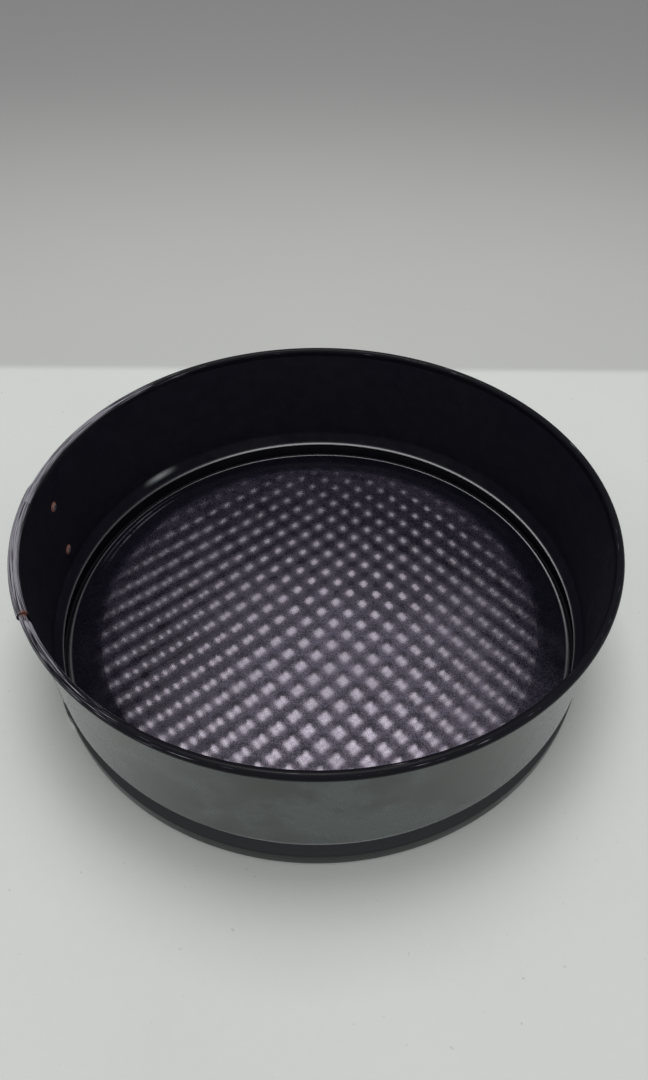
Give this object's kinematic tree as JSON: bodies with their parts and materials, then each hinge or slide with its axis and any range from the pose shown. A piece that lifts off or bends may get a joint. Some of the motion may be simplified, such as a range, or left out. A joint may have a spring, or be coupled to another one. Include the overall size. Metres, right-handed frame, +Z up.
{
  "type": "springform cake pan",
  "caption": "Round dark coated springform cake pan with rolled rim, over-centre clasp and a separate embossed base plate held in the band's foot channel.",
  "frame": {"origin": "on the table under the middle of the whole object's bounding box, 2.6 mm from the pan's axis towards the clasp", "axes": "+Z up, -Y towards the front, the clasp at the left (-X) and a little towards the back"},
  "size_m": [0.256, 0.25, 0.0723],
  "materials": {
    "coated_band": "semi-gloss dark non-stick coating, worn grey on the rolled rim",
    "coated_floor": "speckled dark non-stick coating, embossed",
    "plated_steel": "plated, slightly dulled",
    "rivet_steel": "plated, with rust round the edge"
  },
  "bodies": {
    "pan": {"side_band": "coated_band", "base_plate": "coated_floor", "hinge_plate": "plated_steel", "hinge_rivets": "rivet_steel", "hinge_pin": "plated_steel", "catch_plate": "plated_steel", "catch_rivets": "rivet_steel"},
    "clasp_lever": {"lever": "plated_steel"},
    "clasp_loop": {"wire_loop": "plated_steel"}
  },
  "joints": [
    {"name": "lever_swing", "type": "hinge", "parent": "pan", "child": "clasp_lever", "pos_m": [-0.12513, 0.01795, 0.04], "axis": [0, 0, 1], "range_deg": [0, 110]},
    {"name": "loop_swing", "type": "hinge", "parent": "clasp_lever", "child": "clasp_loop", "pos_m": [-0.1249, 0.02295, 0.04], "axis": [0, 0, 1], "range_deg": [-99, 0]}
  ],
  "couplings": [
    {"joint": "loop_swing", "follows": "lever_swing", "ratio": -0.9}
  ]
}
